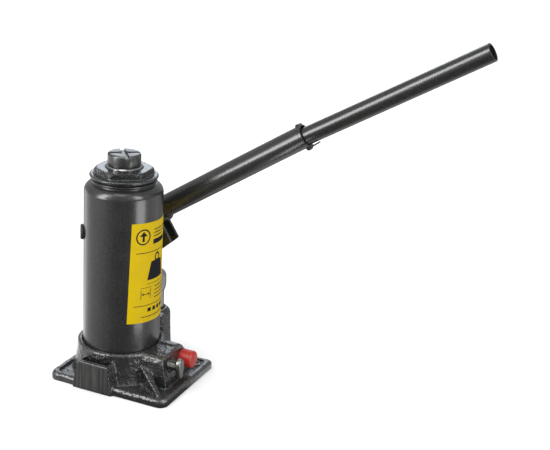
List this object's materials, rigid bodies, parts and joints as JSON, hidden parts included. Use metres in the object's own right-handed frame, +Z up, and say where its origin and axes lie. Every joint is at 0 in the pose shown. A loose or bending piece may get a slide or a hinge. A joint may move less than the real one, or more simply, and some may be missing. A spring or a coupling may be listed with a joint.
{
  "type": "bottle jack",
  "caption": "Hydraulic bottle jack with a cast base, reservoir tube, extension screw saddle, release valve and a side pump worked by a two-piece handle.",
  "frame": {"origin": "on the ram's axis at the flat underside of the base", "axes": "+Z up along the ram; +X along the base's long side, towards the release valve and the way the handle points; +Y towards the hand pump"},
  "size_m": [0.2996, 0.1037, 0.2877],
  "materials": {
    "hammer_paint": "dark grey hammer-finish gloss enamel",
    "cast_paint": "dark grey gloss enamel over a rough casting",
    "bare_steel": "bare turned steel, oiled",
    "ground_steel": "ground and polished steel",
    "dark_steel": "dark oiled forged steel",
    "zinc_steel": "dull zinc plate",
    "spring_steel": "blued spring steel",
    "copper": "soft copper",
    "brass_mesh": "brass",
    "black_rubber": "matt black rubber",
    "red_plastic": "red moulded plastic, semi gloss",
    "label_yellow": "yellow printed film"
  },
  "bodies": {
    "frame": {"base": "cast_paint", "reservoir_tube": "hammer_paint", "top_nut": "cast_paint", "rating_label": "label_yellow", "pressure_cylinder": "bare_steel", "cylinder_washer": "copper", "tube_foot_gasket": "black_rubber", "neck_gasket": "black_rubber", "ram_wiper": "black_rubber", "nut_o_ring": "black_rubber", "safety_spring": "spring_steel", "safety_screw": "zinc_steel", "pump_sleeve": "bare_steel", "plunger_packing": "black_rubber", "pump_gland": "zinc_steel", "delivery_spring": "spring_steel", "passage_plugs": "zinc_steel", "suction_strainer": "brass_mesh"},
    "ram": {"ram": "ground_steel", "piston_cup_seal": "black_rubber", "piston_washer": "bare_steel", "piston_nut": "bare_steel"},
    "screw_ring": {"screw_stop_ring": "spring_steel"},
    "screw": {"extension_screw": "dark_steel"},
    "valve_ball": {"release_ball": "ground_steel"},
    "valve_screw": {"release_valve": "zinc_steel", "release_o_ring": "black_rubber"},
    "valve_cap": {"safety_cap": "red_plastic"},
    "oil_plug": {"filler_plug": "black_rubber"},
    "lever": {"handle_socket": "hammer_paint", "fulcrum_pin": "zinc_steel", "plunger_pin": "zinc_steel", "pin_clips": "spring_steel"},
    "plunger": {"pump_plunger": "ground_steel"},
    "handle_lower": {"handle_lower": "hammer_paint"},
    "handle_upper": {"handle_upper": "hammer_paint"},
    "suction_ball": {"suction_ball": "ground_steel"},
    "delivery_ball": {"delivery_ball": "ground_steel"},
    "safety_ball": {"safety_ball": "ground_steel"}
  },
  "joints": [
    {"name": "ram_lift", "type": "slide", "parent": "frame", "child": "ram", "axis": [0, 0, 1], "range_m": [0, 0.11]},
    {"name": "screw_rise", "type": "slide", "parent": "ram", "child": "screw_ring", "axis": [0, 0, 1], "range_m": [0, 0.05]},
    {"name": "screw_turn", "type": "hinge", "parent": "screw_ring", "child": "screw", "pos_m": [0, 0, 0.17], "axis": [0, 0, 1], "range_deg": [0, 4545]},
    {"name": "valve_travel", "type": "slide", "parent": "frame", "child": "valve_ball", "axis": [1, 0, 0], "range_m": [0, 0.00187]},
    {"name": "valve_turn", "type": "hinge", "parent": "valve_ball", "child": "valve_screw", "pos_m": [0.05, -0.008, 0.02], "axis": [1, 0, 0], "range_deg": [0, 545]},
    {"name": "cap_pull", "type": "slide", "parent": "frame", "child": "valve_cap", "axis": [1, 0, 0], "range_m": [0, 0.012]},
    {"name": "oil_plug_pull", "type": "slide", "parent": "frame", "child": "oil_plug", "axis": [-0.8406, -0.5417, 0], "range_m": [0, 0.012]},
    {"name": "pump_lever", "type": "hinge", "parent": "frame", "child": "lever", "pos_m": [-0.012, 0.046, 0.057], "axis": [0, 1, 0], "range_deg": [-12, 42]},
    {"name": "plunger_stroke", "type": "slide", "parent": "frame", "child": "plunger", "axis": [0, 0, 1], "range_m": [-0.0132, 0.0039]},
    {"name": "handle_out", "type": "slide", "parent": "lever", "child": "handle_lower", "axis": [0.832, 0, 0.5548], "range_m": [0, 0.034]},
    {"name": "extension_out", "type": "slide", "parent": "handle_lower", "child": "handle_upper", "axis": [0.8531, 0, 0.5218], "range_m": [0, 0.034]},
    {"name": "suction_ball_lift", "type": "slide", "parent": "frame", "child": "suction_ball", "axis": [0, 0, 1], "range_m": [0, 0.0008]},
    {"name": "delivery_ball_lift", "type": "slide", "parent": "frame", "child": "delivery_ball", "axis": [0, 0, -1], "range_m": [0, 0.0008], "stiffness_N_per_m": 300, "springref_m": -0.0005, "deforming": ["delivery_spring"]},
    {"name": "safety_ball_lift", "type": "slide", "parent": "frame", "child": "safety_ball", "axis": [1, 0, 0], "range_m": [0, 0.0006], "stiffness_N_per_m": 400, "springref_m": -0.0005, "deforming": ["safety_spring"]}
  ],
  "couplings": [
    {"joint": "screw_turn", "follows": "screw_rise", "rad_per_m": 1570.8},
    {"joint": "valve_turn", "follows": "valve_travel", "rad_per_m": 5026.5},
    {"joint": "plunger_stroke", "follows": "pump_lever", "m_per_rad": -0.0175}
  ]
}
